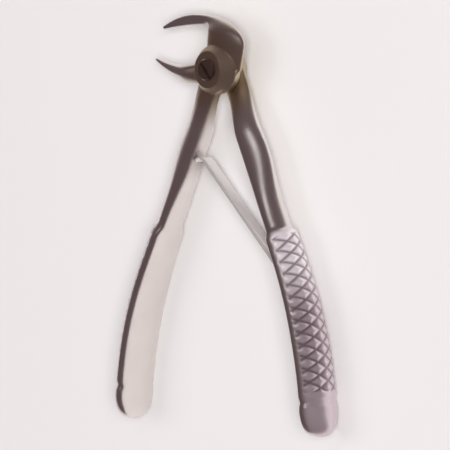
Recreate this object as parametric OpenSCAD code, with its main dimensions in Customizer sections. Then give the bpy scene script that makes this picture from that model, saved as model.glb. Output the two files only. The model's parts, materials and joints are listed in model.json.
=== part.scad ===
// Children's extraction forceps with hooked beaks and a leaf spring, lying open on its side.
// The pivot runs along Z, the beaks point to -X and the handles run to -Y.
// The origin lies on the pivot's axis, on the plane that the forceps rests on.

/* [Joint] */
// Thickness of one lap of the joint
lap_t = 5; // [4:0.1:6]
// Gap between the two laps
lap_gap = 0.1; // [0.05:0.05:0.3]
// Radius of the front half's boss
front_boss_r = 7.4; // [7:0.1:8]
// Height to which the front half's boss stands above its lap, as a cone
boss_rise = 2.2; // [1.4:0.1:2.4]
// Radius of that cone's top
boss_top_r = 5.6; // [4.8:0.1:6]
// Radius of the rear half's boss
rear_boss_r = 5.8; // [5:0.1:6.4]
// Radius of the rear half's boss at its outer face
rear_top_r = 5; // [4.4:0.1:5.4]
// Distance along a handle to where a shank starts to leave its lap
lap_len = 8.5; // [8:0.5:10]

/* [Pivot screw] */
// Diameter of the pivot screw's shank
pivot_d = 3.6; // [3:0.1:4.2]
// Radial clearance of the pivot screw in its bores
pivot_clear = 0.03; // [0.01:0.01:0.08]
// Diameter of the pivot screw's head
pivot_head_d = 6.6; // [5.6:0.1:8]
// Height of the pivot screw's head
pivot_head_h = 0.9; // [0.7:0.1:1.4]
// Diameter of the tail that stands out at the back
pivot_tail_d = 3.2; // [2.4:0.1:3.4]
// Chamfer on the pivot screw's head
pivot_head_edge = 0.3; // [0.1:0.1:0.5]
// Turn of the pivot screw's slot, in degrees
pivot_slot_turn = -50; // [-90:5:90]
// Width of the pivot screw's slot
pivot_slot_w = 1; // [0.6:0.1:1.4]
// Depth of the pivot screw's slot
pivot_slot_h = 0.7; // [0.4:0.1:0.8]

/* [Handles] */
// Height above the pivot at which both shanks' middle lines cross; distances along a handle start there
shank_cross = 2; // [1.4:0.1:2.6]
// Angle between each shank and the middle line when open
half_open = 25.5; // [22:0.5:28]
// Length of each handle
handle_len = 120; // [112:1:126]
// Straight length of each handle, up to where the grip bends
straight_len = 68; // [62:1:74]
// Radius of the grip's bend
grip_bend_r = 120; // [100:1:150]
// Half thickness of a shank inside its boss
shank_root = 4.8; // [4:0.1:5.2]
// Distance along a handle to where a shank's outer side has thinned
shank_slim = 17; // [15:0.5:20]
// Distance along a handle to where a shank's inner side has thinned
crotch_slim = 27; // [24:0.5:30]
// Thickness of a shank on the inner side of its middle plane
shank_in = 2.8; // [2.4:0.1:3.2]
// Thickness of a shank on the outer side of its middle plane
shank_out = 4.2; // [3.6:0.1:4.8]
// Height of a shank along the pivot
shank_h = 8.2; // [7:0.1:9]
// Distance along a handle to where a shank lies midway between the laps, at its full height
shank_full = 25; // [22:1:30]
// Extra thickness on a shank's outer side, where it is fullest
shank_swell = 2; // [1:0.1:2.6]
// Distance along a handle to there
swell_at = 31; // [26:1:34]
// Distance over which that extra thickness fades to both sides
swell_len = 13; // [10:1:16]
// Distance along a handle to where a shank starts to change into its grip
shank_end = 34; // [30:1:38]
// Softness of a shank's corners on its inner side: 0 is square, 1 is an ellipse, more is a soft ridge
shank_soft = 0.8; // [0.5:0.05:1]
// Distance along a handle to the start of the knurled grip
grip_start = 57; // [54:1:60]
// Thickness of a grip on the inner side of its middle plane
grip_in = 1.8; // [1.6:0.1:2.4]
// Thickness of a grip on the outer side of its middle plane
grip_out = 4.5; // [4:0.1:5]
// Softness of a grip's corners on its inner side
inner_soft = 0.5; // [0.4:0.05:0.8]
// Softness of a handle's corners all along its outer side
outer_soft = 1.3; // [1:0.05:1.4]
// Width of a grip along the pivot
grip_w = 14.5; // [13.4:0.1:16]
// Width of the handle just above the knurled grip
grip_neck_w = 9.2; // [8:0.1:10]
// Width of the knurled grip at its start
grip_top_w = 12.2; // [11.4:0.1:13]
// Distance along a handle to where the grip has its full width
grip_full = 96; // [84:1:104]
// Half length of the shoulder where the handle widens into the grip
shoulder = 2.2; // [1.6:0.1:3]
// Step up from the handle to the knurled outer face
knurl_step = 1.1; // [0.6:0.1:1.4]
// Depth of the groove that ends the knurled face
end_groove = 0.5; // [0.2:0.1:0.8]
// Width of that groove
end_groove_w = 4; // [3:0.1:5]
// Distance from that groove to the rounded end
groove_gap = 0.5; // [0.3:0.1:2]
// Length over which the handle's end is rounded
end_round = 8; // [6:0.5:10]

/* [Upper beak] */
// Distance from the pivot to the neck's inner side, below the hook
neck_in = 3.6; // [3:0.1:4.2]
// Distance from the pivot to the neck's back
neck_out = 11.6; // [10.8:0.1:12.4]
// Distance from the pivot to the neck's back at the pivot's height
neck_root_out = 10; // [8.6:0.1:11]
// Softness of the corners on the neck's back
back_soft = 1.2; // [0.8:0.05:1.4]
// Height at which the neck's back starts to bend
back_start = 7.2; // [6.4:0.1:8]
// Height at which the inner side starts to bend
hook_start = 11.3; // [10.6:0.1:12]
// Inner radius of the hook
hook_r = 2.3; // [1.8:0.1:3]
// Height of the hook's crest
crest_h = 17.1; // [16.6:0.1:18]
// Distance from the pivot to the crest
crest_at = 12; // [11:0.1:14]
// Reach of the upper beak
upper_reach = 26.4; // [25:0.1:27]
// Drop of the upper beak's back from crest to tip
upper_drop = 3.8; // [3.4:0.1:4.4]

/* [Lower beak] */
// Reach of the lower beak
lower_reach = 29.8; // [28:0.1:31]
// Height of the beak's root above the pivot
root_up = 4; // [3:0.1:4.6]
// Depth of the beak's root below the pivot
root_down = 4.6; // [4:0.1:5]
// Distance from the pivot to the beak's fullest stretch
lower_full_at = 16; // [14:0.1:17]
// Height of the beak's upper edge above the pivot there
lower_top = 1.3; // [1:0.05:1.6]
// Thickness of the lower beak there
lower_t = 5.6; // [4.8:0.1:6]
// Height of the lower beak along the pivot there
lower_h = 6.5; // [5:0.1:7]
// Softness of the corners on the lower beak's lower side
lower_soft = 1.2; // [0.8:0.05:1.4]
// Rise of the lower beak's upper edge from there to the tip
lower_rise = 2.2; // [1.8:0.1:2.6]

/* [Both beaks] */
// Softness of the beaks' corners
beak_soft = 0.75; // [0.5:0.05:1]
// Height of the upper beak along the pivot, past its hook
beak_h = 3.8; // [3:0.1:4.6]
// Thickness of both tips in the plane of the hook
tip_t = 1.1; // [0.8:0.1:1.6]
// Height of both tips along the pivot
tip_h = 2.2; // [1.6:0.1:3]

/* [Leaf spring] */
// Width of the spring strip
strip_w = 5; // [4:0.1:6]
// Thickness of the strip at its foot
strip_t = 1.1; // [0.8:0.05:1.4]
// Thickness of the strip at its free end
strip_tip_t = 0.7; // [0.5:0.05:0.8]
// Distance along a handle to where the strip leaves the grip
foot_start = 72; // [70:0.5:74]
// Length of the strip's foot on the grip
foot_len = 11; // [9:0.5:13]
// Radius of the bend above the foot
foot_bend_r = 12; // [8:1:16]
// Distance along the left shank to where the free end rests
rest_at = 32; // [30:0.5:36]
// Radius of the rolled free end
roll_r = 2.2; // [1.6:0.1:3]
// Gap between the free end and the left shank
rest_gap = 0.3; // [0.2:0.05:0.5]

/* [Spring screw] */
// Diameter of the spring screw's shank
spring_screw_d = 2; // [1.6:0.1:2.4]
// Radial clearance of the spring screw
spring_screw_clear = 0.03; // [0.01:0.01:0.08]
// Depth of the spring screw in the grip
spring_screw_depth = 3.2; // [2.4:0.1:3.6]
// Diameter of the spring screw's head
spring_head_d = 4; // [3.2:0.1:4.4]
// Height of the spring screw's head
spring_head_h = 1.2; // [0.8:0.1:1.6]
// Chamfer on the spring screw's head
spring_head_edge = 0.2; // [0.1:0.05:0.3]
// Width of the spring screw's slot
spring_slot_w = 0.6; // [0.4:0.1:0.9]
// Depth of the spring screw's slot
spring_slot_h = 0.5; // [0.3:0.1:0.7]

/* [Hidden] */
$fn = 64;

// Thin gap between pieces that are clamped face to face
seat_gap = 0.02;
// Overlap that lets one cut pass through another face
cut = 0.5;
// Points in one cross-section
ring_n = 24;

// Heights along the pivot: the grips' lower edges and the pivot screw's tail lie on the rest plane
mid_z = grip_w / 2;
front_z = mid_z + lap_gap / 2;
rear_z = mid_z - lap_gap / 2;
front_boss_h = lap_t + boss_rise;
rear_face_z = rear_z - lap_t;

function mix(a, b, t) = a + (b - a) * t;
function ease(a, b, s) = let (t = min(1, max(0, (s - a) / (b - a)))) t * t * (3 - 2 * t);
function signed_pow(v, e) = sign(v) * pow(abs(v), e);
function dip(at, width, s) = exp(-pow((s - at) / width, 2));
function fall_off(start, length, s) = sqrt(max(0, 1 - pow(max(0, s - start) / length, 2)));

// One rounded cross-section: left and right are its thicknesses on the two sides of the path's point,
// and soft holds the softness of its corners on those two sides
function ring(c, n, left, right, half_h, z, soft) = [
    for (i = [0:ring_n - 1])
        let (phi = (i + 0.5) * 360 / ring_n)
        let (e = cos(phi) > 0 ? soft[0] : soft[1])
        let (widest = pow(cos(180 / ring_n), e))
        let (u = signed_pow(cos(phi), e) / widest)
        let (v = signed_pow(sin(phi), e) / widest)
        let (d = u > 0 ? u * left : u * right)
        [c.x + n.x * d, c.y + n.y * d, z + v * half_h]
];

// The cross-section that spans from a point on the path's right to one on its left
function ring_between(left, right, half_h, z, soft) =
    let (across = left - right)
    let (half = norm(across) / 2)
    ring((left + right) / 2, across / norm(across), half, half, half_h, z, soft);

module loft(rings) {
    m = len(rings[0]);
    k = len(rings);
    sides = [
        for (j = [0:k - 2], i = [0:m - 1])
            let (a = j * m + i)
            let (b = j * m + (i + 1) % m)
            each [[a, a + m, b + m], [a, b + m, b]]
    ];
    first = [for (i = [0:m - 1]) i];
    last = [for (i = [m - 1:-1:0]) (k - 1) * m + i];
    polyhedron([for (r = rings) each r], concat(sides, [first, last]));
}

groove_at = handle_len - end_round - groove_gap - end_groove_w / 2;
// Shares of its thickness and width that a handle keeps at its very end
end_thick = 0.3;
end_wide = 0.1;

// Handle: centre line, direction and cross-section at a distance s along it
function handle_turn(s) = half_open - max(0, s - straight_len) / grip_bend_r * 180 / PI;
function handle_point(s) =
    let (p = min(s, straight_len))
    let (h = handle_turn(s))
    [
        p * sin(half_open) + grip_bend_r * (cos(h) - cos(half_open)),
        shank_cross - p * cos(half_open) + grip_bend_r * (sin(h) - sin(half_open))
    ];
function handle_out(s) = [cos(handle_turn(s)), sin(handle_turn(s))];
function grip_share(s) = ease(shank_end, grip_start, s);
function groove(s) = end_groove * dip(groove_at, end_groove_w / 4, s);
function inner_shank(s) = mix(shank_root, shank_in, ease(0, crotch_slim, s));
function inner_t(s) = mix(inner_shank(s), grip_in, grip_share(s));
function knurl_rise(s) = knurl_step * ease(grip_start - shoulder / 3, grip_start + shoulder / 3, s);
function outer_shank(s) =
    mix(shank_root, shank_out, ease(0, shank_slim, s)) + shank_swell * dip(swell_at, swell_len, s);
function outer_t(s) = mix(outer_shank(s), grip_out, grip_share(s)) + knurl_rise(s) - groove(s);
function handle_soft(s) = [outer_soft, mix(shank_soft, inner_soft, grip_share(s))];
function lap_share(s) = 1 - ease(lap_len, shank_full, s);
function shank_half_h(s) = mix(shank_h, lap_t, lap_share(s)) / 2;
function grip_half_h(s) =
    let (top_w = mix(grip_neck_w, grip_top_w, ease(grip_start - shoulder, grip_start + shoulder, s)))
    mix(top_w, grip_w, ease(grip_start, grip_full, s)) / 2;
function handle_half_h(s) =
    mix(shank_half_h(s), grip_half_h(s), ease(shank_end, grip_start - shoulder, s)) - groove(s);
function handle_z(s) = mix(mid_z, rear_z - lap_t / 2, lap_share(s));

function handle_ring(s) =
    let (full = fall_off(handle_len - end_round, end_round, s))
    let (thin = fall_off(handle_len - end_round / 2, end_round / 2, s))
    let (thick = mix(end_thick, 1, thin))
    ring(handle_point(s), handle_out(s), outer_t(s) * thick, inner_t(s) * thick,
        handle_half_h(s) * mix(end_wide, 1, full), handle_z(s), handle_soft(s));

// Stations along the handle, closer together where its shape changes quickly
handle_stations = concat(
    [for (i = [0:9]) mix(shank_cross, shank_full, i / 10)],
    [for (i = [0:2]) mix(shank_full, shank_end, i / 3)],
    [for (i = [0:8]) mix(shank_end, grip_start - shoulder, i / 9)],
    [for (i = [-3:3]) grip_start + shoulder * i / 3],
    [for (i = [1:10]) mix(grip_start + shoulder, groove_at - end_groove_w / 2, i / 10)],
    [for (i = [-3:4]) groove_at + end_groove_w * i / 8],
    [for (i = [0:10]) handle_len - end_round * cos(90 * i / 10)]
);

module handle() {
    loft([for (s = handle_stations) handle_ring(s)]);
}

// A boss that stands on the plane between the laps and tapers from a height on
module boss(r, taper_z, top_r, h) {
    rotate_extrude()
        polygon([[0, 0], [r, 0], [r, taper_z], [top_r, h], [0, h]]);
}

module pivot_bore(z, h) {
    translate([0, 0, z - cut])
        cylinder(d = pivot_d + 2 * pivot_clear, h = h + 2 * cut);
}

// Upper beak: its hook's inner edge is on the left of the path, its back on the right
hook_inner_y = hook_start + hook_r;
crest_inner_x = -neck_in - hook_r;
upper_tip_y = crest_h - upper_drop;
// Angle at which the neck's inner side meets the hook
neck_lean = 18;
// Share of the boss's radius at which the neck's inner side starts
neck_root = 0.62;
// Share of the boss's radius within which the neck's sides meet the boss below the pivot
neck_foot = 0.55;

function neck_inner(t) = mix([-front_boss_r * neck_root, 0], hook_inner(-neck_lean), t);
function neck_back(t) = mix([neck_root_out, 0], [neck_out, back_start], t);
function hook_inner(a) = [crest_inner_x + hook_r * cos(a), hook_start + hook_r * sin(a)];
function hook_back(a) =
    [-crest_at + (crest_at + neck_out) * cos(a), back_start + (crest_h - back_start) * sin(a)];
function upper_inner(t) =
    [mix(crest_inner_x, -upper_reach + tip_t / 3, t), mix(hook_inner_y, upper_tip_y - tip_t, t * t)];
function upper_back(t) = [mix(-crest_at, -upper_reach, t), mix(crest_h, upper_tip_y, t * t)];

function upper_ring(left, right, lapped, tipped) =
    let (past_h = mix(beak_h, tip_h, tipped))
    ring_between(left, right, mix(past_h, lap_t, lapped) / 2, mix(mid_z, front_z + lap_t / 2, lapped),
        [beak_soft, mix(beak_soft, back_soft, lapped)]);

neck_steps = 3;
hook_steps = 12;
blade_steps = 12;

module upper_beak() {
    loft(concat(
        [upper_ring(front_boss_r * neck_foot * [-1, -1], front_boss_r * neck_foot * [1, -1], 1, 0)],
        [
            for (i = [0:neck_steps - 1])
                let (t = i / neck_steps)
                upper_ring(neck_inner(t), neck_back(t), 1, 0)
        ],
        [
            for (i = [0:hook_steps - 1])
                let (t = i / hook_steps)
                let (a = 90 * t)
                upper_ring(hook_inner(mix(-neck_lean, 90, t)), hook_back(a), 1 - ease(neck_lean, 90, a), 0)
        ],
        [
            for (i = [0:blade_steps])
                let (t = i / blade_steps)
                upper_ring(upper_inner(t), upper_back(t), 0, t)
        ]
    ));
}

// Lower beak: its lower edge is on the left of the path, its upper edge on the right
lower_tip_y = lower_top + lower_rise;
lower_edge_y = lower_top - lower_t;
// Share of the root's length past which the beak leaves its lap
root_leave = 0.55;

function root_upper(t) = [-t * lower_full_at, mix(root_up, lower_top, ease(0, 1, t))];
function root_lower(t) = [-t * lower_full_at, mix(-root_down, lower_edge_y, ease(0, 1, t))];
function lower_upper(t) =
    [mix(-lower_full_at, -lower_reach + tip_t / 3, t), mix(lower_top, lower_tip_y, t * t)];
function lower_lower(t) =
    [mix(-lower_full_at, -lower_reach, t), mix(lower_edge_y, lower_tip_y - tip_t, pow(t, 1.5))];

function lower_ring(left, right, lapped, tipped) =
    let (past_h = mix(lower_h, tip_h, tipped))
    ring_between(left, right, mix(past_h, lap_t, lapped) / 2, mix(mid_z, rear_z - lap_t / 2, lapped),
        [mix(lower_soft, beak_soft, lapped), beak_soft]);

root_steps = 8;

module lower_beak() {
    loft(concat(
        [
            for (i = [0:root_steps - 1])
                let (t = i / root_steps)
                lower_ring(root_lower(t), root_upper(t), 1 - ease(root_leave, 1, t), 0)
        ],
        [
            for (i = [0:blade_steps])
                let (t = i / blade_steps)
                lower_ring(lower_lower(t), lower_upper(t), 0, t)
        ]
    ));
}

// Leaf spring: it lies on the right grip, bends away from it and runs to the left shank
function foot_point(s, out) = handle_point(s) - handle_out(s) * (inner_t(s) + seat_gap + strip_t / 2 + out);
function along(a) = [cos(a), sin(a)];
function side_of(a) = [-sin(a), cos(a)];

foot_dir = 90 + handle_turn(foot_start);
rest_dir = 270 - half_open;
rest_off = inner_t(rest_at) + rest_gap + strip_tip_t / 2;
shank_rest = [
    -rest_at * sin(half_open) + rest_off * cos(half_open),
    shank_cross - rest_at * cos(half_open) - rest_off * sin(half_open)
];

function bend_end(a) =
    foot_point(foot_start, 0) + foot_bend_r * (side_of(foot_dir) - side_of(a));
function roll_start(a) = shank_rest - roll_r * (side_of(a) - side_of(rest_dir));
function blade_dir(a, tries) =
    let (run = roll_start(a) - bend_end(a))
    tries == 0 ? a : blade_dir(atan2(run.y, run.x), tries - 1);

blade_a = blade_dir(foot_dir, 12);

function strip_ring(c, a, t) = [
    for (k = [[-1, -1], [1, -1], [1, 1], [-1, 1]])
        let (p = c + side_of(a) * k.x * t / 2)
        [p.x, p.y, mid_z + k.y * strip_w / 2]
];

foot_steps = 5;
bend_steps = 5;
roll_steps = 8;
blade_run = 6;

module leaf_spring() {
    foot = [
        for (i = [0:foot_steps])
            let (s = foot_start + foot_len * (1 - i / foot_steps))
            strip_ring(foot_point(s, 0), 90 + handle_turn(s), strip_t)
    ];
    bend = [
        for (i = [1:bend_steps])
            let (a = mix(foot_dir, blade_a, i / bend_steps))
            strip_ring(bend_end(a), a, strip_t)
    ];
    blade = [
        for (i = [1:blade_run])
            let (t = i / blade_run)
            let (c = mix(bend_end(blade_a), roll_start(blade_a), t))
            strip_ring(c, blade_a, mix(strip_t, strip_tip_t, t))
    ];
    roll = [
        for (i = [1:roll_steps])
            let (a = mix(blade_a, rest_dir, i / roll_steps))
            strip_ring(roll_start(blade_a) + roll_r * (side_of(blade_a) - side_of(a)), a, strip_tip_t)
    ];
    color("lightsteelblue")
        difference() {
            loft(concat(foot, bend, blade, roll));
            at_spring_screw(-strip_t - cut)
                cylinder(d = spring_screw_d + 2 * spring_screw_clear, h = strip_t + 2 * cut);
        }
}

// Spring screw: its axis crosses the grip in the middle of the spring's foot
spring_screw_at = foot_start + foot_len / 2;

module at_spring_screw(from) {
    seat = inner_t(spring_screw_at) + seat_gap;
    c = handle_point(spring_screw_at) - handle_out(spring_screw_at) * (seat - from);
    translate([c.x, c.y, mid_z])
        rotate([0, 0, handle_turn(spring_screw_at)])
            rotate([0, 90, 0])
                children();
}

module spring_screw() {
    color("gainsboro")
        difference() {
            at_spring_screw(-strip_t - seat_gap - spring_head_h)
                rotate_extrude()
                    polygon([
                        [0, 0],
                        [spring_head_d / 2 - spring_head_edge, 0],
                        [spring_head_d / 2, spring_head_edge],
                        [spring_head_d / 2, spring_head_h],
                        [spring_screw_d / 2, spring_head_h],
                        [spring_screw_d / 2, spring_head_h + seat_gap + strip_t + spring_screw_depth],
                        [0, spring_head_h + seat_gap + strip_t + spring_screw_depth]
                    ]);
            at_spring_screw(-strip_t - seat_gap - spring_head_h - cut)
                translate([-spring_slot_w / 2, -spring_head_d, 0])
                    cube([spring_slot_w, 2 * spring_head_d, cut + spring_slot_h]);
        }
}

module right_half() {
    color("silver")
        difference() {
            union() {
                translate([0, 0, rear_z])
                    mirror([0, 0, 1])
                        boss(rear_boss_r, lap_t / 2, rear_top_r, lap_t);
                handle();
                lower_beak();
            }
            pivot_bore(rear_face_z, lap_t);
            at_spring_screw(-cut)
                cylinder(d = spring_screw_d + 2 * spring_screw_clear, h = spring_screw_depth + 2 * cut);
        }
}

module left_half() {
    color("lightgray")
        difference() {
            union() {
                translate([0, 0, front_z]) boss(front_boss_r, lap_t, boss_top_r, front_boss_h);
                translate([0, 0, 2 * mid_z]) rotate([0, 180, 0]) handle();
                upper_beak();
            }
            pivot_bore(front_z, front_boss_h);
        }
}

module pivot_screw() {
    head_z = front_z + front_boss_h + seat_gap;
    head_top = head_z + pivot_head_h;
    color("darkgray")
        difference() {
            rotate_extrude()
                polygon([
                    [0, 0],
                    [pivot_tail_d / 2, 0],
                    [pivot_tail_d / 2, rear_face_z],
                    [pivot_d / 2, rear_face_z],
                    [pivot_d / 2, head_z],
                    [pivot_head_d / 2, head_z],
                    [pivot_head_d / 2, head_top - pivot_head_edge],
                    [pivot_head_d / 2 - pivot_head_edge, head_top],
                    [0, head_top]
                ]);
            rotate([0, 0, pivot_slot_turn])
                translate([-pivot_head_d, -pivot_slot_w / 2, head_top - pivot_slot_h])
                    cube([2 * pivot_head_d, pivot_slot_w, pivot_slot_h + cut]);
        }
}

right_half();
left_half();
pivot_screw();
leaf_spring();
spring_screw();
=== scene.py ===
import json
import math

import bmesh
import bpy
from functools import lru_cache
from mathutils import Matrix, Vector
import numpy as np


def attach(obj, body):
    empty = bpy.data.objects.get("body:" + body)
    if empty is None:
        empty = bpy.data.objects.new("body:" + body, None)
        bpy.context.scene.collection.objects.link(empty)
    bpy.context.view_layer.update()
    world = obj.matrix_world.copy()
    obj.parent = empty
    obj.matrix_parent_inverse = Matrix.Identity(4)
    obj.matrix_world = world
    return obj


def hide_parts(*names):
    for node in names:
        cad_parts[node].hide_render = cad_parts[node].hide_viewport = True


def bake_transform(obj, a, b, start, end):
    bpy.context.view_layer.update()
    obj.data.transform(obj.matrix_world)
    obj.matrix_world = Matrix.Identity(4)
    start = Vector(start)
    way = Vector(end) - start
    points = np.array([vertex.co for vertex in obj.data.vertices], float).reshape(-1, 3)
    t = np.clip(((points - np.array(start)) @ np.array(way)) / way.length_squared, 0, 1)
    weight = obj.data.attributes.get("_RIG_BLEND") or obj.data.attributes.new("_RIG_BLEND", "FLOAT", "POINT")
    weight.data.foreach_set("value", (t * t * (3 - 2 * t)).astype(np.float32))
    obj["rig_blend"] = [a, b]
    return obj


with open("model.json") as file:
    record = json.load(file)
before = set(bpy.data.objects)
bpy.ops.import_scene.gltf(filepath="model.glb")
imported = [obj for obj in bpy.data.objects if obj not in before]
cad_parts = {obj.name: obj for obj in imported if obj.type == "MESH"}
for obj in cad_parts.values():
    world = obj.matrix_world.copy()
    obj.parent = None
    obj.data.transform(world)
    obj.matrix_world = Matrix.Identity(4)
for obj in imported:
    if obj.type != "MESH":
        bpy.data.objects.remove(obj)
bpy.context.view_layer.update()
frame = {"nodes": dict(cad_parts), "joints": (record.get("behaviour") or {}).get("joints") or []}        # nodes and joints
print("frame loaded:", sorted(frame["nodes"]))

mm = 0.001               # meshes are modelled in millimetres and scaled to metres at the end
imageWide = 450          # pixels across the square picture
scene = bpy.context.scene
scene.view_settings.view_transform = "Standard"

pivotMid = Vector(frame["joints"][0]["pos_m"]) / mm
midZ = pivotMid.z


def mix(a, b, t):
    return a + (b - a) * t


def ease(a, b, s):
    t = min(1.0, max(0.0, (s - a) / (b - a)))
    return t * t * (3 - 2 * t)


def fallOff(start, length, s):
    return math.sqrt(max(0.0, 1 - (max(0.0, s - start) / length) ** 2))


def spread(a, b, count):
    return [mix(a, b, i / count) for i in range(count + 1)]


# Mesh helpers

def softSquare(turn, soft, crowd):
    # a point of a section: soft is 0 for square corners and 1 for an ellipse, and a crowd below 1
    # moves points from the short sides to the long ones
    t = math.atan2(crowd * math.sin(turn), math.cos(turn))
    c, s = math.cos(t), math.sin(t)
    power = 2 / soft
    r = (abs(c) ** power + abs(s) ** power) ** (-1 / power)
    return r * c, r * s


def loft(bm, segments, stations, place):
    # one circle of vertices, extruded from station to station; each vertex keeps its own turn
    turn = bm.verts.layers.float.get("turn") or bm.verts.layers.float.new("turn")
    ring = bmesh.ops.create_circle(bm, cap_ends=False, segments=segments, radius=1)["verts"]
    edges = list({e for v in ring for e in v.link_edges})
    for v in ring:
        v[turn] = math.atan2(v.co.y, v.co.x)
        v.co = place(stations[0], v[turn])
    first = edges
    made = list(ring)
    for station in stations[1:]:
        geom = bmesh.ops.extrude_edge_only(bm, edges=edges)["geom"]
        ring = [g for g in geom if isinstance(g, bmesh.types.BMVert)]
        fresh = set(ring)
        edges = [g for g in geom if isinstance(g, bmesh.types.BMEdge) and set(g.verts) <= fresh]
        for v in ring:
            v.co = place(station, v[turn])
        made += ring
    return first, edges, made


def closeLoop(bm, edges):
    bmesh.ops.edgeloop_fill(bm, edges=edges)


def plainObject(bm, name):
    bmesh.ops.recalc_face_normals(bm, faces=bm.faces)
    mesh = bpy.data.meshes.new(name)
    bm.to_mesh(mesh)
    bm.free()
    holder = bpy.data.objects.new(name, mesh)
    scene.collection.objects.link(holder)
    return holder


def fuse(bm, voxel, passes, bore):
    # overlapping closed shells become one forging with soft inner corners, drilled where bore says
    holder = plainObject(bm, "shells")
    drill = plainObject(bore, "drill")
    remesh = holder.modifiers.new("fuse", "REMESH")
    remesh.mode = "VOXEL"
    remesh.voxel_size = voxel
    polish = holder.modifiers.new("polish", "SMOOTH")
    polish.iterations = passes
    hole = holder.modifiers.new("hole", "BOOLEAN")
    hole.operation = "DIFFERENCE"
    hole.object = drill
    bpy.context.view_layer.update()
    solid = bpy.data.meshes.new_from_object(holder.evaluated_get(bpy.context.evaluated_depsgraph_get()))
    fused = bmesh.new()
    fused.from_mesh(solid)
    bpy.data.meshes.remove(solid)
    for scratch in (holder, drill):
        mesh = scratch.data
        bpy.data.objects.remove(scratch)
        bpy.data.meshes.remove(mesh)
    return fused


def finishPiece(bm, name, body, material, nodes):
    # to metres, smooth shading, and onto its body in place of the plain solids
    bmesh.ops.scale(bm, vec=(mm, mm, mm), verts=bm.verts)
    mesh = bpy.data.meshes.new(name)
    bm.to_mesh(mesh)
    bm.free()
    mesh.shade_smooth()
    mesh.materials.append(material)
    piece = bpy.data.objects.new(name, mesh)
    scene.collection.objects.link(piece)
    if body:
        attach(piece, body)
    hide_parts(*nodes)
    print("made", name, len(mesh.polygons), "faces")
    return piece


# Materials

def srgb(hexCode):
    values = [int(hexCode[i:i + 2], 16) / 255 for i in (1, 3, 5)]
    return [v / 12.92 if v <= 0.04045 else ((v + 0.055) / 1.055) ** 2.4 for v in values] + [1.0]


def addNode(tree, kind, settings=None, inputs=None):
    node = tree.nodes.new(kind)
    for key, value in (settings or {}).items():
        setattr(node, key, value)
    for key, value in (inputs or {}).items():
        if isinstance(value, bpy.types.NodeSocket):
            tree.links.new(value, node.inputs[key])
        else:
            node.inputs[key].default_value = value
    return node


def newMaterial(name):
    material = bpy.data.materials.new(name)
    material.use_nodes = True
    tree = material.node_tree
    tree.nodes.clear()
    return material, tree


def perMetre(sizeMm):
    return 1 / (sizeMm * mm)


steelLook = {
    "light": "#f4eeea",         # bright polished steel
    "dull": "#e8e1dd",          # faint patches of handling
    "jointDarkTint": "#cfc0a9",       # brown tint round the joint: painted dark reflection of the head
    "jointDarkFullMm": 8.0,       # distance from the pivot's axis up to which the painted dark tint is full
    "jointDarkEndMm": 20.0,
    "knurlPaintedGlint": "#efe7ec",    # blasted outer face of the grips, lightened at their top as a painted glint
    "knurl": "#dbcdd3",         # the same lower down, where the painted glint has faded
    "glintFadeTopMm": -56.0,         # along Y: the painted glint on the grips begins to fade here and is gone at the next value
    "glintFadeEndMm": -74.0,
    "grooveDark": "#85757b",         # darker towards the bottom of the knurling's grooves
    "patchMm": 9.0,
    "grainMm": 0.5,
    "roughLow": 0.285,
    "roughHigh": 0.34,
    "roughJointDark": 0.48,
    "roughKnurl": 0.3,
    "metalTop": 0.45,         # share of bare metal at the top of the grips: the rest of the blasted face is a matt white bloom
    "metalKnurl": 0.8,
    "grooveDarkStart": 0.25,         # depth in the knurling, as a share, at which the darkening begins and is full
    "grooveDarkFull": 1.1,
    "bump": 0.04,
    "bumpMm": 0.1,
}


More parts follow.
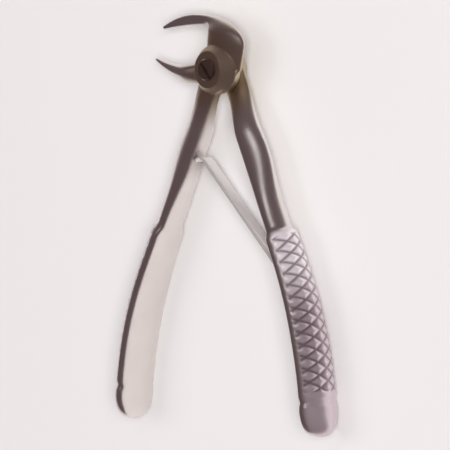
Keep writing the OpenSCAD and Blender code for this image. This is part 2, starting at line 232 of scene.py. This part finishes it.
def polishedSteel():
    # forged stainless steel, belt-polished: a soft mirror, with dull patches and a faint grain,
    # a brown tint round the joint as painted dark reflection, and a matt blasted face on the grips,
    # lightened at the top as a painted glint and darker towards the bottom of the knurling's grooves
    look = steelLook
    material, tree = newMaterial("polished_stainless_steel")
    coord = addNode(tree, "ShaderNodeTexCoord").outputs["Object"]
    patch = addNode(tree, "ShaderNodeTexNoise", inputs={
        "Vector": coord, "Scale": perMetre(look["patchMm"]), "Detail": 4.0, "Roughness": 0.6})
    colour = addNode(tree, "ShaderNodeMix", {"data_type": "RGBA"}, {
        "Factor": patch.outputs["Fac"], "A": srgb(look["light"]), "B": srgb(look["dull"])})
    flat = addNode(tree, "ShaderNodeVectorMath", {"operation": "MULTIPLY"}, {0: coord, 1: (1, 1, 0)})
    away = addNode(tree, "ShaderNodeVectorMath", {"operation": "LENGTH"}, {0: flat.outputs["Vector"]})
    # painted reflection: near the pivot the steel is tinted brown so that the head mirrors darker
    jointDark = addNode(tree, "ShaderNodeMapRange", {"interpolation_type": "SMOOTHSTEP"}, {
        "Value": away.outputs["Value"], "From Min": look["jointDarkFullMm"] * mm,
        "From Max": look["jointDarkEndMm"] * mm, "To Min": 1.0, "To Max": 0.0}).outputs["Result"]
    jointDarkened = addNode(tree, "ShaderNodeMix", {"data_type": "RGBA"}, {
        "Factor": jointDark, "A": colour.outputs["Result"], "B": srgb(look["jointDarkTint"])})
    blasted = addNode(tree, "ShaderNodeAttribute", {"attribute_name": "blasted"}).outputs["Fac"]
    down = addNode(tree, "ShaderNodeSeparateXYZ", inputs={"Vector": coord}).outputs["Y"]
    # painted glint: the blasted face is lighter towards the top of the grips
    glintFaded = addNode(tree, "ShaderNodeMapRange", {"interpolation_type": "SMOOTHSTEP"}, {
        "Value": down, "From Min": look["glintFadeEndMm"] * mm, "From Max": look["glintFadeTopMm"] * mm,
        "To Min": 1.0, "To Max": 0.0}).outputs["Result"]
    face = addNode(tree, "ShaderNodeMix", {"data_type": "RGBA"}, {
        "Factor": glintFaded, "A": srgb(look["knurlPaintedGlint"]), "B": srgb(look["knurl"])})
    facedColour = addNode(tree, "ShaderNodeMix", {"data_type": "RGBA"}, {
        "Factor": blasted, "A": jointDarkened.outputs["Result"], "B": face.outputs["Result"]})
    depth = addNode(tree, "ShaderNodeAttribute", {"attribute_name": "grooveDepth"}).outputs["Fac"]
    # darker towards the bottom of the knurling's grooves
    grooveShare = addNode(tree, "ShaderNodeMapRange", {"interpolation_type": "SMOOTHSTEP"}, {
        "Value": depth, "From Min": look["grooveDarkStart"], "From Max": look["grooveDarkFull"]}).outputs["Result"]
    grooveDarkened = addNode(tree, "ShaderNodeMix", {"data_type": "RGBA"}, {
        "Factor": grooveShare, "A": facedColour.outputs["Result"], "B": srgb(look["grooveDark"])})
    grain = addNode(tree, "ShaderNodeTexNoise", inputs={
        "Vector": coord, "Scale": perMetre(look["grainMm"]), "Detail": 3.0, "Roughness": 0.55})
    rough = addNode(tree, "ShaderNodeMapRange", inputs={
        "Value": patch.outputs["Fac"], "From Min": 0.3, "From Max": 0.7,
        "To Min": look["roughLow"], "To Max": look["roughHigh"]})
    jointDarkRough = addNode(tree, "ShaderNodeMix", {"data_type": "FLOAT"}, {
        "Factor": jointDark, "A": rough.outputs["Result"], "B": look["roughJointDark"]})
    fullRough = addNode(tree, "ShaderNodeMix", {"data_type": "FLOAT"}, {
        "Factor": blasted, "A": jointDarkRough.outputs["Result"], "B": look["roughKnurl"]})
    bloom = addNode(tree, "ShaderNodeMix", {"data_type": "FLOAT"}, {
        "Factor": glintFaded, "A": look["metalTop"], "B": look["metalKnurl"]})
    bare = addNode(tree, "ShaderNodeMix", {"data_type": "FLOAT"}, {
        "Factor": blasted, "A": 1.0, "B": bloom.outputs["Result"]})
    bump = addNode(tree, "ShaderNodeBump", inputs={
        "Height": grain.outputs["Fac"], "Strength": look["bump"], "Distance": look["bumpMm"] * mm})
    shader = addNode(tree, "ShaderNodeBsdfPrincipled", inputs={
        "Base Color": grooveDarkened.outputs["Result"], "Metallic": bare.outputs["Result"],
        "Roughness": fullRough.outputs["Result"], "Normal": bump.outputs["Normal"]})
    addNode(tree, "ShaderNodeOutputMaterial", inputs={"Surface": shader.outputs["BSDF"]})
    return material


springLook = {
    "light": "#faf7f6",
    "dull": "#efeae9",
    "lineMm": 0.35,             # a real strip's lines are finer than the picture shows
    "stretch": 0.06,
    "roughLow": 0.14,
    "roughHigh": 0.26,
    "metal": 0.63,
}


def springSteel():
    # cold-rolled strip: bright, with fine lines along its length that scatter part of the light
    look = springLook
    material, tree = newMaterial("rolled_spring_steel")
    coord = addNode(tree, "ShaderNodeTexCoord").outputs["Object"]
    drawn = addNode(tree, "ShaderNodeMapping", inputs={
        "Vector": coord, "Scale": (look["stretch"], look["stretch"], 1)})
    lines = addNode(tree, "ShaderNodeTexNoise", inputs={
        "Vector": drawn.outputs["Vector"], "Scale": perMetre(look["lineMm"]), "Detail": 3.0})
    colour = addNode(tree, "ShaderNodeMix", {"data_type": "RGBA"}, {
        "Factor": lines.outputs["Fac"], "A": srgb(look["light"]), "B": srgb(look["dull"])})
    rough = addNode(tree, "ShaderNodeMapRange", inputs={
        "Value": lines.outputs["Fac"], "From Min": 0.3, "From Max": 0.7,
        "To Min": look["roughLow"], "To Max": look["roughHigh"]})
    shader = addNode(tree, "ShaderNodeBsdfPrincipled", inputs={
        "Base Color": colour.outputs["Result"], "Metallic": look["metal"],
        "Roughness": rough.outputs["Result"]})
    addNode(tree, "ShaderNodeOutputMaterial", inputs={"Surface": shader.outputs["BSDF"]})
    return material


screwLook = {
    "light": "#b3a597",
    "dull": "#8b7d70",
    "grainMm": 0.4,
    "rough": 0.28,
    "bump": 0.1,
    "bumpMm": 0.1,
}


def turnedSteel():
    # screw heads faced on a lathe and left a little darker than the polished halves
    look = screwLook
    material, tree = newMaterial("turned_screw_steel")
    coord = addNode(tree, "ShaderNodeTexCoord").outputs["Object"]
    grain = addNode(tree, "ShaderNodeTexNoise", inputs={
        "Vector": coord, "Scale": perMetre(look["grainMm"]), "Detail": 4.0})
    colour = addNode(tree, "ShaderNodeMix", {"data_type": "RGBA"}, {
        "Factor": grain.outputs["Fac"], "A": srgb(look["light"]), "B": srgb(look["dull"])})
    bump = addNode(tree, "ShaderNodeBump", inputs={
        "Height": grain.outputs["Fac"], "Strength": look["bump"], "Distance": look["bumpMm"] * mm})
    shader = addNode(tree, "ShaderNodeBsdfPrincipled", inputs={
        "Base Color": colour.outputs["Result"], "Metallic": 1.0, "Roughness": look["rough"],
        "Normal": bump.outputs["Normal"]})
    addNode(tree, "ShaderNodeOutputMaterial", inputs={"Surface": shader.outputs["BSDF"]})
    return material


polished = polishedSteel()
rolled = springSteel()
turned = turnedSteel()
print("materials ready")


# Handles: one shape for both halves, the left one turned over

handleSizes = {
    "halfOpen": 25.5,        # degrees between a shank and the middle line
    "length": 119.99,
    "straight": 68.0,
    "bendR": 120.0,
    "lapThick": 5.0,
    "lapGap": 0.1,
    "cross": 2.0,            # height above the pivot at which the shanks' middle lines cross
    "lapLen": 8.5,
    "shankRoot": 4.8,
    "shankSlim": 17.0,
    "crotchSlim": 27.0,
    "shankIn": 2.8,
    "shankOut": 4.2,
    "shankHigh": 8.2,
    "shankFull": 25.0,
    "swell": 2.0,
    "swellAt": 31.0,
    "swellLen": 13.0,
    "shankEnd": 34.0,
    "shankSoft": 0.8,        # softness of the corners: 0 is square, 1 an ellipse, more is a soft ridge
    "gripStart": 57.0,
    "gripIn": 1.8,
    "gripOut": 4.5,
    "innerSoft": 0.5,
    "outerSoft": 1.3,
    "gripWide": 14.5,
    "gripNeck": 9.2,
    "gripTop": 12.2,
    "gripFull": 96.0,
    "shoulder": 2.2,
    "step": 1.1,
    "groove": 0.5,
    "grooveWide": 4.0,
    "grooveGap": 0.5,
    "endRound": 8.0,
    "endThick": 0.3,
    "endWide": 0.1,
    "segments": 128,
    "crowd": 0.4,
    "plainSteps": 30,
    "endSteps": 24,
    "blastFrom": 0.05,       # share of the outer side's depth at which the blasted face begins and is full
    "blastFull": 0.35,
    "blastEdge": 1.0,
    "joinAt": 28.0,          # where the forged head ends and the drawn-out handle begins
    "joinGap": 0.3,
    "joinLap": 4.0,          # how far the head's own shank runs on before it is cut off
    "rootSegments": 96,
    "rootSteps": 24,
}
hs = handleSizes
frontZ = midZ + hs["lapGap"] / 2
rearZ = midZ - hs["lapGap"] / 2
grooveAt = hs["length"] - hs["endRound"] - hs["grooveGap"] - hs["grooveWide"] / 2

knurlSizes = {
    "pitch": 3.7,            # from one diamond to the next along the handle
    "slope": 0.68,           # travel along the handle for each millimetre across it
    "depth": 0.5,
    "wide": 2.4,             # width of a V groove along the handle
    "edge": 0.93,            # share of the face's half width that is cut
    "lead": 1.6,             # plain stretch before the first cut, and half that after the last one
    "fade": 0.6,             # half the run-out of the cuts along the handle, and as a share across it
    "edgeFade": 0.06,
    "spacing": 0.2,
}


def handleTurn(s):
    return math.radians(hs["halfOpen"]) - max(0.0, s - hs["straight"]) / hs["bendR"]


def handlePoint(s):
    open0 = math.radians(hs["halfOpen"])
    run = min(s, hs["straight"])
    h = handleTurn(s)
    return Vector((
        run * math.sin(open0) + hs["bendR"] * (math.cos(h) - math.cos(open0)),
        hs["cross"] - run * math.cos(open0) + hs["bendR"] * (math.sin(h) - math.sin(open0)),
        0.0))


def handleOut(s):
    return Vector((math.cos(handleTurn(s)), math.sin(handleTurn(s)), 0.0))


def groove(s):
    return hs["groove"] * math.exp(-((s - grooveAt) / (hs["grooveWide"] / 4)) ** 2)


def gripShare(s):
    return ease(hs["shankEnd"], hs["gripStart"], s)


def innerThick(s):
    shank = mix(hs["shankRoot"], hs["shankIn"], ease(0, hs["crotchSlim"], s))
    return mix(shank, hs["gripIn"], gripShare(s))


def outerThick(s):
    shank = mix(hs["shankRoot"], hs["shankOut"], ease(0, hs["shankSlim"], s))
    shank += hs["swell"] * math.exp(-((s - hs["swellAt"]) / hs["swellLen"]) ** 2)
    step = hs["step"] * ease(hs["gripStart"] - hs["shoulder"] / 3, hs["gripStart"] + hs["shoulder"] / 3, s)
    return mix(shank, hs["gripOut"], gripShare(s)) + step - groove(s)


def lapShare(s):
    return 1 - ease(hs["lapLen"], hs["shankFull"], s)


def halfWide(s):
    start, shoulder = hs["gripStart"], hs["shoulder"]
    shank = mix(hs["shankHigh"], hs["lapThick"], lapShare(s))
    top = mix(hs["gripNeck"], hs["gripTop"], ease(start - shoulder, start + shoulder, s))
    grip = mix(top, hs["gripWide"], ease(start, hs["gripFull"], s))
    return mix(shank, grip, ease(hs["shankEnd"], start - shoulder, s)) / 2 - groove(s)


@lru_cache(maxsize=None)
def handleSection(s):
    # everything about the handle's section at a distance s from the pivot
    full = fallOff(hs["length"] - hs["endRound"], hs["endRound"], s)
    thin = fallOff(hs["length"] - hs["endRound"] / 2, hs["endRound"] / 2, s)
    thick = mix(hs["endThick"], 1, thin)
    share = gripShare(s)
    return {
        "mid": handlePoint(s) + Vector((0, 0, mix(midZ, rearZ - hs["lapThick"] / 2, lapShare(s)))),
        "out": handleOut(s),
        "outer": outerThick(s) * thick,
        "inner": innerThick(s) * thick,
        "wide": halfWide(s) * mix(hs["endWide"], 1, full),
        "outerSoft": hs["outerSoft"],
        "innerSoft": mix(hs["shankSoft"], hs["innerSoft"], share),
    }


def knurlCut(s, across, v):
    # depth of the crossed V grooves, 0 on a diamond's crest and 1 at a groove's bottom
    k = knurlSizes
    start = hs["gripStart"] + k["lead"]
    end = grooveAt - hs["grooveWide"] / 2 - k["lead"] / 2
    inside = ease(start - k["fade"], start + k["fade"], s) * (1 - ease(end - k["fade"], end + k["fade"], s))
    inside *= 1 - ease(k["edge"] - k["edgeFade"], k["edge"] + k["edgeFade"], abs(v))
    if inside == 0:
        return 0.0
    cut = 0.0
    for sign in (1, -1):
        along = (s + sign * k["slope"] * across) / k["pitch"]
        off = abs(along - round(along)) * k["pitch"]
        cut = max(cut, 1 - off / (k["wide"] / 2))
    return max(0.0, cut) * inside


def handleShape(s, turn):
    q = handleSection(s)
    outward = math.cos(turn) > 0
    u, v = softSquare(turn, q["outerSoft"] if outward else q["innerSoft"], hs["crowd"])
    cut, blasted = 0.0, 0.0
    if outward:
        cut = knurlCut(s, v * q["wide"], v)
        start, edge = hs["gripStart"], hs["blastEdge"]
        blasted = ease(hs["blastFrom"], hs["blastFull"], u) * ease(start - edge, start + edge, s)
        d = u * q["outer"] - knurlSizes["depth"] * cut
    else:
        d = u * q["inner"]
    return q["mid"] + q["out"] * d + Vector((0, 0, v * q["wide"])), cut, blasted


def handleStations(start):
    # wide steps down the shank, close ones over the knurling and a rounded run to the end
    gripEnd = hs["length"] - hs["endRound"]
    cutStart = hs["gripStart"] - hs["shoulder"]
    plain = spread(start, cutStart, hs["plainSteps"])
    cut = spread(cutStart, gripEnd, int((gripEnd - cutStart) / knurlSizes["spacing"]))
    end = [hs["length"] - hs["endRound"] * math.cos(a) for a in spread(0, math.pi / 2, hs["endSteps"])]
    return plain + cut[1:] + end[1:]


def addHandle(bm, start):
    depth = bm.verts.layers.float.new("grooveDepth")
    blasted = bm.verts.layers.float.new("blasted")
    stations = handleStations(start)
    first, last, made = loft(bm, hs["segments"], stations, lambda s, turn: handleShape(s, turn)[0])
    turn = bm.verts.layers.float["turn"]
    for i, v in enumerate(made):
        v.co, v[depth], v[blasted] = handleShape(stations[i // hs["segments"]], v[turn])
    return first, last, made


def addShankRoot(bm, end):
    stations = spread(hs["cross"], end, hs["rootSteps"])
    first, last, made = loft(bm, hs["rootSegments"], stations, lambda s, turn: handleShape(s, turn)[0])
    closeLoop(bm, first)
    closeLoop(bm, last)
    return made


# Joint and beaks

bossSizes = {
    "frontR": 7.4,
    "rise": 2.2,             # how far the front boss stands above its lap, as a cone
    "frontTopR": 5.6,
    "rearR": 5.8,
    "rearTopR": 5.0,
    "boreR": 1.83,
    "skirtR": 8.0,           # foot of the fillet by which the front boss runs out onto the neck
    "skirtShift": (1.2, 0.2, 0.0),
    "skirtSink": 1.5,
    "segments": 96,
    "boreSegments": 64,
}

upperSizes = {
    "neckIn": 3.6,
    "neckOut": 11.6,
    "rootOut": 10.0,
    "backSoft": 1.2,
    "backStart": 7.2,
    "hookStart": 11.3,
    "hookR": 2.3,
    "crestH": 17.1,
    "crestAt": 12.0,
    "reach": 26.4,
    "drop": 3.8,
    "lean": 18.0,
    "root": 0.62,
    "foot": 0.55,
}

lowerSizes = {
    "reach": 29.8,
    "rootUp": 4.0,
    "rootDown": 4.6,
    "fullAt": 16.0,
    "top": 1.3,
    "thick": 5.6,
    "high": 6.5,
    "soft": 1.6,             # the lower edge is a ridge, which mirrors the table on its under side
    "rise": 2.2,
    "leave": 0.4,
}

beakSizes = {
    "soft": 0.75,
    "high": 3.8,
    "tipThick": 1.1,
    "tipHigh": 2.2,
    "segments": 64,
    "voxel": 0.2,
    "passes": 8,
}


def between(left, right, turn, halfHigh, z, leftSoft, rightSoft):
    # a rounded section that spans from one edge of a beak to the other
    u, v = softSquare(turn, leftSoft if math.cos(turn) > 0 else rightSoft, 1.0)
    mid = (left + right) / 2
    return mid + (left - right) / 2 * u + Vector((0, 0, z + v * halfHigh))


def upperShape(station, turn):
    # stations -1 to 0 come out of the boss, 0 to 1 run up the neck, 1 to 2 round the hook
    # and 2 to 3 to the tip
    q, b = upperSizes, beakSizes
    innerX = -q["neckIn"] - q["hookR"]
    hookTop = q["hookStart"] + q["hookR"]
    tipY = q["crestH"] - q["drop"]
    lean = math.radians(-q["lean"])

    def inner(a):
        return Vector((innerX + q["hookR"] * math.cos(a), q["hookStart"] + q["hookR"] * math.sin(a), 0))

    def back(a):
        x = -q["crestAt"] + (q["crestAt"] + q["neckOut"]) * math.cos(a)
        return Vector((x, q["backStart"] + (q["crestH"] - q["backStart"]) * math.sin(a), 0))

    lapped, tipped = 1.0, 0.0
    rootLeft = Vector((-bossSizes["frontR"] * q["root"], 0, 0))
    rootRight = Vector((q["rootOut"], 0, 0))
    if station < 0:
        foot = bossSizes["frontR"] * q["foot"]
        left = rootLeft.lerp(Vector((-foot, -foot, 0)), -station)
        right = rootRight.lerp(Vector((foot, -foot, 0)), -station)
    elif station < 1:
        left = rootLeft.lerp(inner(lean), station)
        right = rootRight.lerp(back(0), station)
    elif station < 2:
        a = (station - 1) * math.pi / 2
        left, right = inner(mix(lean, math.pi / 2, station - 1)), back(a)
        lapped = 1 - ease(q["lean"], 90, math.degrees(a))
    else:
        t = station - 2
        tipX = -q["reach"] + b["tipThick"] / 3
        left = Vector((mix(innerX, tipX, t), mix(hookTop, tipY - b["tipThick"], t * t), 0))
        right = Vector((mix(-q["crestAt"], -q["reach"], t), mix(q["crestH"], tipY, t * t), 0))
        lapped, tipped = 0.0, t
    high = mix(mix(b["high"], b["tipHigh"], tipped), hs["lapThick"], lapped)
    z = mix(midZ, frontZ + hs["lapThick"] / 2, lapped)
    return between(left, right, turn, high / 2, z, b["soft"], mix(b["soft"], q["backSoft"], lapped))


def lowerShape(station, turn):
    # stations 0 to 1 run along the root and 1 to 2 out to the tip
    q, b = lowerSizes, beakSizes
    topTip = q["top"] + q["rise"]
    edge = q["top"] - q["thick"]
    if station < 1:
        t = ease(0, 1, station)
        left = Vector((-station * q["fullAt"], mix(-q["rootDown"], edge, t), 0))
        right = Vector((-station * q["fullAt"], mix(q["rootUp"], q["top"], t), 0))
        lapped, tipped = 1 - ease(q["leave"], 1, station), 0.0
    else:
        t = station - 1
        left = Vector((mix(-q["fullAt"], -q["reach"], t), mix(edge, topTip - b["tipThick"], t ** 1.5), 0))
        tipX = -q["reach"] + b["tipThick"] / 3
        right = Vector((mix(-q["fullAt"], tipX, t), mix(q["top"], topTip, t * t), 0))
        lapped, tipped = 0.0, t
    high = mix(mix(q["high"], b["tipHigh"], tipped), hs["lapThick"], lapped)
    z = mix(midZ, rearZ - hs["lapThick"] / 2, lapped)
    return between(left, right, turn, high / 2, z, mix(q["soft"], b["soft"], lapped), b["soft"])


def addBeak(bm, stations, shape):
    first, last = loft(bm, beakSizes["segments"], stations, shape)[:2]
    closeLoop(bm, first)
    closeLoop(bm, last)


def addBoss(bm, radius, thick, topRadius, high, lapZ, outward):
    # a disc on the plane between the laps, and a cone that carries on from it
    for r1, r2, low, top in ((radius, radius, 0, thick), (radius, topRadius, thick, high)):
        bottom, over = (r1, r2) if outward > 0 else (r2, r1)
        bmesh.ops.create_cone(
            bm, cap_ends=True, segments=bossSizes["segments"], radius1=bottom, radius2=over, depth=top - low,
            matrix=Matrix.Translation((0, 0, lapZ + outward * (low + top) / 2)))


def addSkirt(bm):
    # a leaning cone round the front boss, its foot moved towards the neck
    q = bossSizes
    high = q["rise"] + q["skirtSink"]
    mid = frontZ + hs["lapThick"] + q["rise"] - high / 2
    made = bmesh.ops.create_cone(
        bm, cap_ends=True, segments=q["segments"], radius1=q["skirtR"], radius2=q["frontTopR"], depth=high,
        matrix=Matrix.Translation((0, 0, mid)))["verts"]
    foot = [v for v in made if v.co.z < mid]
    bmesh.ops.translate(bm, verts=foot, vec=q["skirtShift"])


def makeHalf(name, body, node, boss, lapZ, outward, beakStations, beakShape, turnOver):
    flip = Matrix.Rotation(math.pi, 4, "Y")
    middle = Vector((0, 0, midZ))

    shells = bmesh.new()
    root = addShankRoot(shells, hs["joinAt"] + hs["joinLap"])
    if turnOver:
        bmesh.ops.rotate(shells, cent=middle, matrix=flip, verts=root)
    addBoss(shells, *boss, lapZ, outward)
    if outward > 0:
        addSkirt(shells)
    addBeak(shells, beakStations, beakShape)
    bore = bmesh.new()
    bmesh.ops.create_cone(
        bore, cap_ends=True, segments=bossSizes["boreSegments"], radius1=bossSizes["boreR"],
        radius2=bossSizes["boreR"], depth=4 * hs["lapThick"], matrix=Matrix.Translation(middle))
    bm = fuse(shells, beakSizes["voxel"], beakSizes["passes"], bore)
    print(name, "head fused:", len(bm.faces), "faces")

    # the fused head is cut square across its shank, and the handle's first ring is bridged to the cut
    cutAt = handlePoint(hs["joinAt"])
    out = handleOut(hs["joinAt"])
    along = Vector((out.y, -out.x, 0))
    if turnOver:
        cutAt.x, along.x = -cutAt.x, -along.x
    bmesh.ops.bisect_plane(
        bm, geom=bm.verts[:] + bm.edges[:] + bm.faces[:], plane_co=cutAt, plane_no=along, clear_outer=True)
    cut = [e for e in bm.edges if e.is_boundary]
    first, last, made = addHandle(bm, hs["joinAt"] + hs["joinGap"])
    if turnOver:
        bmesh.ops.rotate(bm, cent=middle, matrix=flip, verts=made)
    closeLoop(bm, last)
    bmesh.ops.bridge_loops(bm, edges=cut + first)
    bm.verts.layers.float.remove(bm.verts.layers.float["turn"])
    bmesh.ops.recalc_face_normals(bm, faces=bm.faces)
    finishPiece(bm, name, body, polished, [node])


# a boss is given as its radius, its disc's thickness, its top radius and its full height
lapThick = hs["lapThick"]
frontBoss = (bossSizes["frontR"], lapThick, bossSizes["frontTopR"], lapThick + bossSizes["rise"])
rearBoss = (bossSizes["rearR"], lapThick / 2, bossSizes["rearTopR"], lapThick)
lowerStations = spread(0, 1, 24) + spread(1, 2, 40)[1:]
upperStations = spread(-1, 0, 6) + spread(0, 1, 10)[1:] + spread(1, 2, 36)[1:] + spread(2, 3, 40)[1:]
makeHalf(
    "right_forging", "right_arm", "right_half", rearBoss, rearZ, -1, lowerStations, lowerShape, False)
makeHalf(
    "left_forging", "left_arm", "left_half", frontBoss, frontZ, 1, upperStations, upperShape, True)


# Leaf spring

springSizes = {
    "wide": 5.0,
    "thick": 1.1,
    "tipThick": 0.7,
    "footStart": 72.0,
    "footLen": 11.0,
    "bendR": 12.0,
    "restAt": 32.0,
    "rollR": 2.2,
    "restGap": 0.3,
    "seatGap": 0.02,
    "soft": 0.35,
    "crowd": 0.3,
    "segments": 32,
    "footSteps": 16,
    "bendSteps": 16,
    "bladeSteps": 40,
    "rollSteps": 20,
    "settle": 12,            # rounds in which the blade's direction is found
}


def sideDir(a):
    return Vector((-math.sin(a), math.cos(a), 0))


def springPath():
    # points, directions and thicknesses of the strip's middle line, from the foot's end to the rolled tip
    q = springSizes
    footDir = math.pi / 2 + handleTurn(q["footStart"])
    open0 = math.radians(hs["halfOpen"])
    restDir = 1.5 * math.pi - open0
    gap = innerThick(q["restAt"]) + q["restGap"] + q["tipThick"] / 2
    rest = Vector((
        -q["restAt"] * math.sin(open0) + gap * math.cos(open0),
        hs["cross"] - q["restAt"] * math.cos(open0) - gap * math.sin(open0), 0))

    def foot(s):
        return handlePoint(s) - handleOut(s) * (innerThick(s) + q["seatGap"] + q["thick"] / 2)

    def bendEnd(a):
        return foot(q["footStart"]) + q["bendR"] * (sideDir(footDir) - sideDir(a))

    def rollStart(a):
        return rest - q["rollR"] * (sideDir(a) - sideDir(restDir))

    blade = footDir
    for _ in range(q["settle"]):
        run = rollStart(blade) - bendEnd(blade)
        blade = math.atan2(run.y, run.x) % (2 * math.pi)
    path = []
    for s in spread(q["footStart"] + q["footLen"], q["footStart"], q["footSteps"]):
        path.append((foot(s), math.pi / 2 + handleTurn(s), q["thick"]))
    for a in spread(footDir, blade, q["bendSteps"])[1:]:
        path.append((bendEnd(a), a, q["thick"]))
    for t in spread(0, 1, q["bladeSteps"])[1:]:
        path.append((bendEnd(blade).lerp(rollStart(blade), t), blade, mix(q["thick"], q["tipThick"], t)))
    for a in spread(blade, restDir, q["rollSteps"])[1:]:
        path.append((rollStart(blade) + q["rollR"] * (sideDir(blade) - sideDir(a)), a, q["tipThick"]))
    return path


def makeSpring():
    q = springSizes
    path = springPath()

    def strip(station, turn):
        point, a, thick = path[station]
        u, v = softSquare(turn, q["soft"], q["crowd"])
        return point + sideDir(a) * u * thick / 2 + Vector((0, 0, midZ + v * q["wide"] / 2))

    bm = bmesh.new()
    first, last = loft(bm, q["segments"], range(len(path)), strip)[:2]
    closeLoop(bm, first)
    closeLoop(bm, last)
    bm.verts.layers.float.remove(bm.verts.layers.float["turn"])
    bmesh.ops.recalc_face_normals(bm, faces=bm.faces)
    spring = finishPiece(bm, "spring_strip", None, rolled, ["leaf_spring"])
    footEnd = path[q["footSteps"]][0] + Vector((0, 0, midZ))
    tip = path[-1][0] + Vector((0, 0, midZ))
    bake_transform(spring, "right_arm", "left_arm", start=footEnd * mm, end=tip * mm)


makeSpring()


# Screws keep their solids' shape and get a turned finish

for node in ("pivot_screw", "spring_screw"):
    solid = frame["nodes"][node]
    solid.data.materials.clear()
    solid.data.materials.append(turned)
print("screws finished")


# Floor, light and camera

stageLook = {
    "floor": "#f1efee",
    "floorWide": 6.0,        # metres
    "floorSink": 0.02,       # gap in millimetres under the part
    "speckMm": 1.5,
    "bump": 0.02,
    "bumpMm": 0.1,
    "rough": 0.85,
    "surround": "#5e5053",   # the dim room that the steel mirrors above the table
}

floorMaterial, tree = newMaterial("matt_white_table")   # painted board, fine even grain
coord = addNode(tree, "ShaderNodeTexCoord").outputs["Object"]
speck = addNode(tree, "ShaderNodeTexNoise", inputs={
    "Vector": coord, "Scale": perMetre(stageLook["speckMm"]), "Detail": 2.0})
grain = addNode(tree, "ShaderNodeBump", inputs={
    "Height": speck.outputs["Fac"], "Strength": stageLook["bump"], "Distance": stageLook["bumpMm"] * mm})
board = addNode(tree, "ShaderNodeBsdfPrincipled", inputs={
    "Base Color": srgb(stageLook["floor"]), "Roughness": stageLook["rough"],
    "Normal": grain.outputs["Normal"]})
addNode(tree, "ShaderNodeOutputMaterial", inputs={"Surface": board.outputs["BSDF"]})

bm = bmesh.new()
bmesh.ops.create_grid(bm, x_segments=2, y_segments=2, size=stageLook["floorWide"] / 2)
floorMesh = bpy.data.meshes.new("floor")
bm.to_mesh(floorMesh)
bm.free()
floorMesh.materials.append(floorMaterial)
floor = bpy.data.objects.new("floor", floorMesh)
floor.location.z = -stageLook["floorSink"] * mm
scene.collection.objects.link(floor)

world = bpy.data.worlds.new("room")
world.use_nodes = True
scene.world = world
world.node_tree.nodes.clear()
room = addNode(world.node_tree, "ShaderNodeBackground", inputs={
    "Color": srgb(stageLook["surround"]), "Strength": 1.0})
addNode(world.node_tree, "ShaderNodeOutputWorld", inputs={"Surface": room.outputs["Background"]})

# only a lamp with a glint is seen in the steel; the others light the table, which the steel mirrors
lampSizes = {
    "fill": {"at": (2.88, 0.05, 2.78), "wide": 1.6, "watts": 136.0, "glint": False},
    "back": {"at": (-1.5, 0.3, 2.4), "wide": 2.0, "watts": 13.0, "glint": False},     # lifts the shadows
    "dome": {"at": (0.2, 0.1, 2.8), "wide": 5.0, "watts": 30.0, "glint": False},
    "window": {"at": (0.21, 0.5, 1.07), "wide": 0.3, "watts": 0.4, "glint": True},    # right shank's stripe
}
aim = Vector((0, -0.05, 0))
for name, lamp in lampSizes.items():
    light = bpy.data.lights.new(name, "AREA")
    light.shape = "SQUARE"
    light.size = lamp["wide"]
    light.energy = lamp["watts"]
    holder = bpy.data.objects.new(name, light)
    holder.location = lamp["at"]
    holder.rotation_mode = "QUATERNION"
    holder.rotation_quaternion = (aim - Vector(lamp["at"])).to_track_quat("-Z", "Y")
    holder.visible_glossy = lamp["glint"]
    scene.collection.objects.link(holder)

viewSizes = {
    "lean": 46.0,            # degrees from the pivot's axis towards +X
    "rise": 0.5,             # degrees towards +Y
    "away": 1200.0,
    "pixelsPerMm": 3.27,
    "pivotPixel": (224.0, 69.5),
    "sensorMm": 36.0,
}
vs = viewSizes
lean, rise = math.radians(vs["lean"]), math.radians(vs["rise"])
towards = Vector((math.sin(lean) * math.cos(rise), math.sin(rise), math.cos(lean) * math.cos(rise)))
up = (Vector((0, 1, 0)) - towards * towards.y).normalized()
right = up.cross(towards)
offX = (imageWide / 2 - vs["pivotPixel"][0]) / vs["pixelsPerMm"]
offY = (imageWide / 2 - vs["pivotPixel"][1]) / vs["pixelsPerMm"]
target = pivotMid + right * offX - up * offY
eye = pivotMid + towards * vs["away"]
back = (eye - target).normalized()
right = Vector((0, 1, 0)).cross(back).normalized()
up = back.cross(right)
camera = bpy.data.cameras.new("camera")
camera.sensor_width = vs["sensorMm"]
camera.lens = vs["pixelsPerMm"] * vs["away"] * vs["sensorMm"] / imageWide
camera.clip_end = 20
cameraHolder = bpy.data.objects.new("camera", camera)
cameraHolder.matrix_world = Matrix((
    (right.x, up.x, back.x, eye.x * mm),
    (right.y, up.y, back.y, eye.y * mm),
    (right.z, up.z, back.z, eye.z * mm),
    (0, 0, 0, 1)))
scene.collection.objects.link(cameraHolder)
scene.camera = cameraHolder
print("stage ready")
